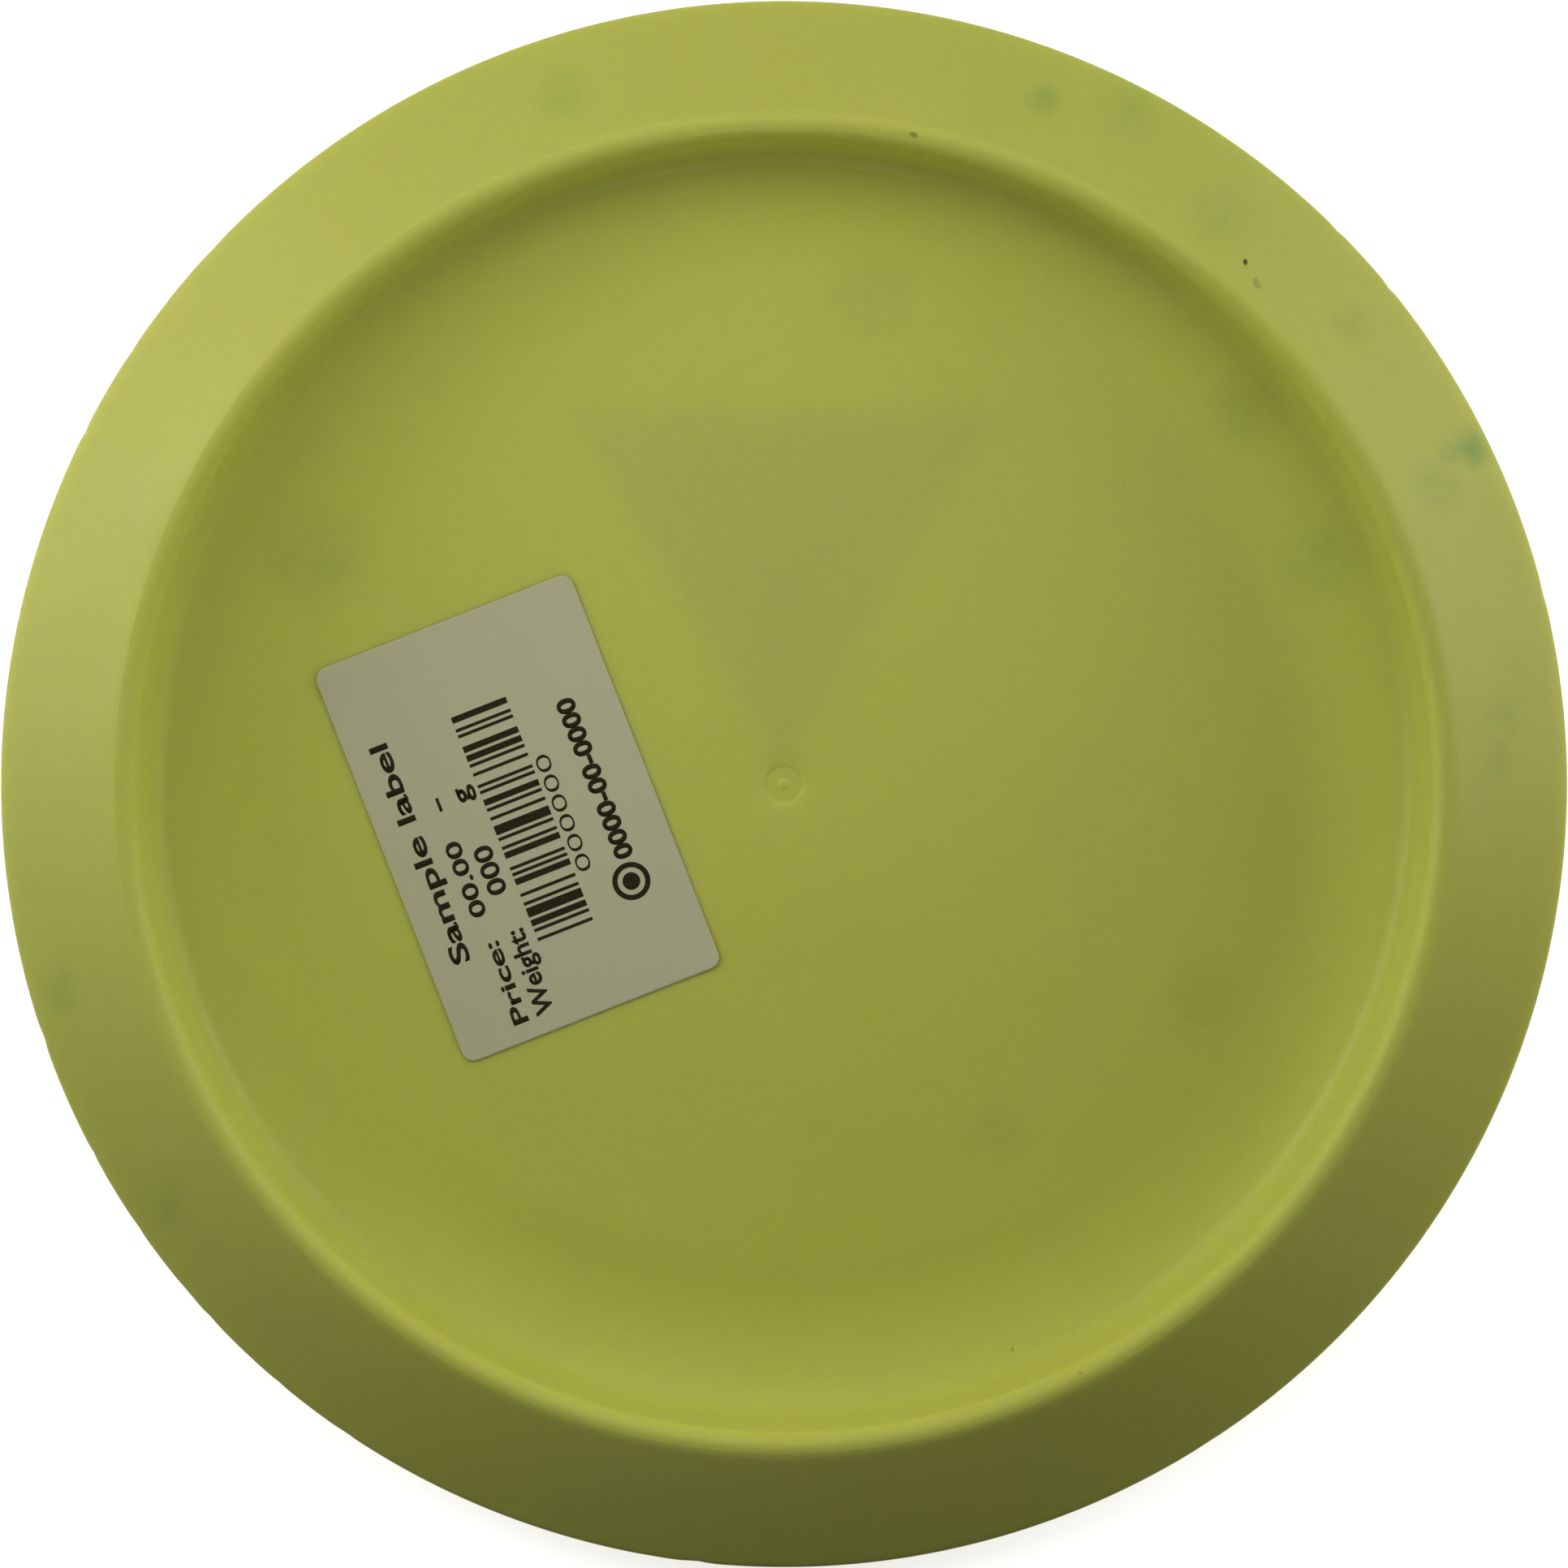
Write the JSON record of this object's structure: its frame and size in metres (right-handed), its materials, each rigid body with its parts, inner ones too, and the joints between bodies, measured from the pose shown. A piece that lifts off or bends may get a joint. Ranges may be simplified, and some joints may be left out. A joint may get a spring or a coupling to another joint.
{
  "type": "disc golf disc",
  "caption": "Round plastic flying disc with a closed plate and a bevelled rim around a finger hollow, lying open side up, with a paper label inside.",
  "frame": {"origin": "centre of the flat land in the middle of the disc's top face, which the disc lies on when its open side is up", "axes": "+Z along the spin axis, out of the disc's open underside, so a disc in flight has -Z up; +X and +Y in the plane of the disc, with the label towards -X"},
  "size_m": [0.211, 0.211, 0.016],
  "materials": {
    "disc_plastic": "satin",
    "stamp_foil": "satin",
    "label_glue": "satin",
    "label_paper": "matte",
    "label_ink": "matte"
  },
  "bodies": {
    "root": {"disc_body": "disc_plastic", "hot_stamp_foil": "stamp_foil", "label_adhesive": "label_glue", "label_paper": "label_paper", "barcode_print": "label_ink", "text_print": "label_ink", "emblem_print": "label_ink"}
  },
  "joints": []
}
